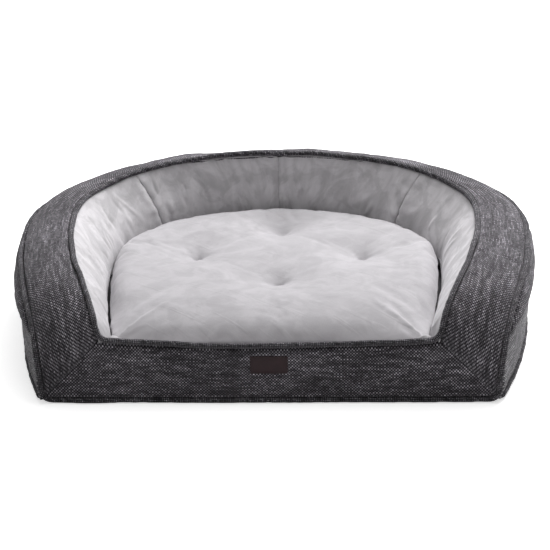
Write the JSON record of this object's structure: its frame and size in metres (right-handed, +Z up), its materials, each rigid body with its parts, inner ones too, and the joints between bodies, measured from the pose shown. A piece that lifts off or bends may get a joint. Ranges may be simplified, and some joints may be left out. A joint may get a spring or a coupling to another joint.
{
  "type": "bolstered pet bed",
  "caption": "Pet cushion bed with a low front, arms rising to a tall curved back, a plush-lined well and a loose tufted cushion",
  "frame": {"origin": "centre of the footprint, on the floor", "axes": "+X to the right as seen from the low front, +Y to the tall back, +Z up"},
  "size_m": [0.965, 0.7344, 0.233],
  "materials": {
    "charcoal_tweed": "coarse woven tweed with pale slubs",
    "heather_tweed": "coarse woven tweed, mostly pale yarn",
    "grey_plush": "short velvety pile with a soft sheen",
    "backing_cloth": "plain woven lining cloth",
    "non_slip_base": "non-slip cloth with fine rubbery dots",
    "foam": "open-cell upholstery foam",
    "fibre_fill": "loose polyester fibre",
    "piping_cord": "twisted cotton piping cord",
    "thread": "spun polyester thread",
    "label_leather": "dark brown smooth leather patch",
    "zip_tape": "herringbone zip tape",
    "zip_coil": "nylon coil",
    "zip_metal": "dull plated die-cast metal",
    "button_plastic": "plain moulded backing button"
  },
  "bodies": {
    "bed_shell": {"bottom_panel": "non_slip_base", "base_foam": "foam", "deck_panel": "backing_cloth", "front_panel": "charcoal_tweed", "top_panel": "charcoal_tweed", "bolster_wall_left": "charcoal_tweed", "bolster_wall_back": "charcoal_tweed", "bolster_wall_right": "charcoal_tweed", "base_band_left": "heather_tweed", "base_band_back": "heather_tweed", "base_band_right": "heather_tweed", "lining_left": "grey_plush", "lining_back_left": "grey_plush", "lining_back_right": "grey_plush", "lining_right": "grey_plush", "lining_front": "grey_plush", "inner_welt": "charcoal_tweed", "inner_welt_cord": "piping_cord", "outer_welt": "charcoal_tweed", "outer_welt_cord": "piping_cord", "base_welt": "charcoal_tweed", "base_welt_cord": "piping_cord", "left_arm_fill": "fibre_fill", "back_fill": "fibre_fill", "right_arm_fill": "fibre_fill", "front_fill": "fibre_fill", "label": "label_leather", "label_stitching": "thread", "zip_tape_upper": "zip_tape", "zip_tape_lower": "zip_tape", "zip_coil_upper": "zip_coil", "zip_coil_lower": "zip_coil", "zip_stops": "zip_metal"},
    "zip_slider": {"zip_slider": "zip_metal"},
    "zip_pull": {"zip_pull": "zip_metal"},
    "seat_cushion": {"cushion_top": "grey_plush", "cushion_underside": "backing_cloth", "cushion_fill": "fibre_fill", "tuft_ties": "thread", "tuft_buttons": "button_plastic"}
  },
  "joints": [
    {"name": "cushion_lift", "type": "slide", "parent": "bed_shell", "child": "seat_cushion", "axis": [0, 0, 1], "range_m": [0, 0.2]},
    {"name": "zip_run", "type": "hinge", "parent": "bed_shell", "child": "zip_slider", "pos_m": [0, -0.60891, 0.038], "axis": [0, 0, 1], "range_deg": [0, 17.4]},
    {"name": "pull_swing", "type": "hinge", "parent": "zip_slider", "child": "zip_pull", "pos_m": [0.14881, 0.35066, 0.0392], "axis": [0.9882, -0.1532, 0], "range_deg": [0, 150]}
  ]
}
